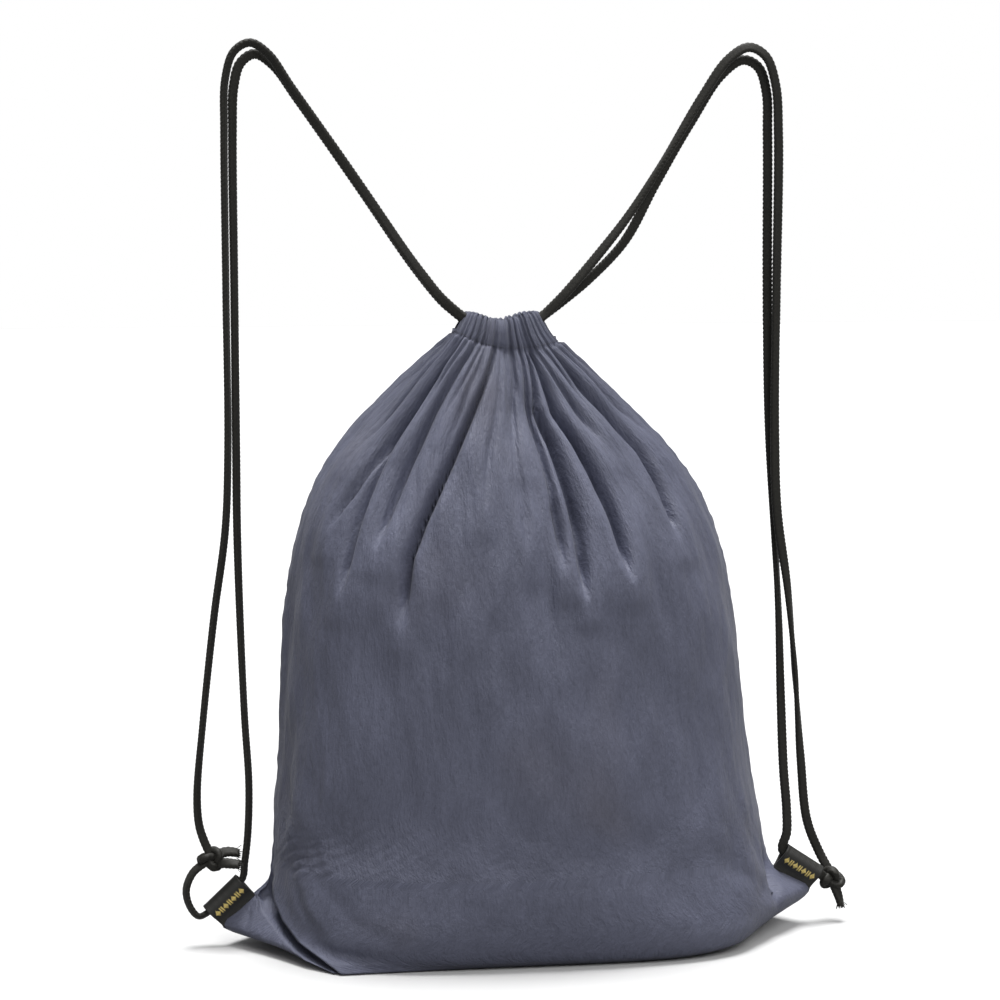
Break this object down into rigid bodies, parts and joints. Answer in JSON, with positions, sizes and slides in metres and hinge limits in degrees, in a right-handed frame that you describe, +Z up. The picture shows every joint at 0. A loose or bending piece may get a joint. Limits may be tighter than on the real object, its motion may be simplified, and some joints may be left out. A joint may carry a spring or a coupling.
{
  "type": "drawstring backpack",
  "caption": "Gathered nylon drawstring bag, filled and standing, with a ruffled drawcord casing at the neck and knotted cord shoulder straps running to webbing corner tabs.",
  "frame": {"origin": "on the floor, under the middle of the box round the bag and its two corner tabs", "axes": "+Z up towards the gathered neck, -Y the bag's front, +X to the right of a viewer who faces the front"},
  "size_m": [0.3966, 0.1664, 0.5223],
  "materials": {
    "nylon": "crinkled slate grey nylon with a soft sheen",
    "thread": "twisted polyester sewing thread",
    "webbing": "black satin-woven label webbing",
    "gold_yarn": "gold woven yarn with a dull metallic sheen",
    "cord": "black flat-braided polyester"
  },
  "bodies": {
    "bag": {"front_panel": "nylon", "back_panel": "nylon", "base_fold": "nylon", "left_side_seam": "nylon", "right_side_seam": "nylon", "front_casing": "nylon", "back_casing": "nylon", "front_casing_stitching": "thread", "back_casing_stitching": "thread", "left_tab": "webbing", "right_tab": "webbing", "left_tab_emblem": "gold_yarn", "right_tab_emblem": "gold_yarn", "left_tab_stitching": "thread", "right_tab_stitching": "thread", "left_drawcord_in_casing": "cord", "right_drawcord_in_casing": "cord", "left_tab_loop": "cord", "right_tab_loop": "cord", "left_knot": "cord", "right_knot": "cord", "left_cord_tails": "cord", "right_cord_tails": "cord"},
    "left_strap": {"left_strap_outer_run": "cord", "left_strap_inner_run": "cord"},
    "right_strap": {"right_strap_outer_run": "cord", "right_strap_inner_run": "cord"}
  },
  "joints": [
    {"name": "left_strap_swing", "type": "hinge", "parent": "bag", "child": "left_strap", "pos_m": [-0.16, 0, 0.05], "axis": [0.3755, 0, 0.9268], "range_deg": [-60, 60]},
    {"name": "right_strap_swing", "type": "hinge", "parent": "bag", "child": "right_strap", "pos_m": [0.162, 0, 0.056], "axis": [0.4295, 0, -0.9031], "range_deg": [-60, 60]}
  ]
}
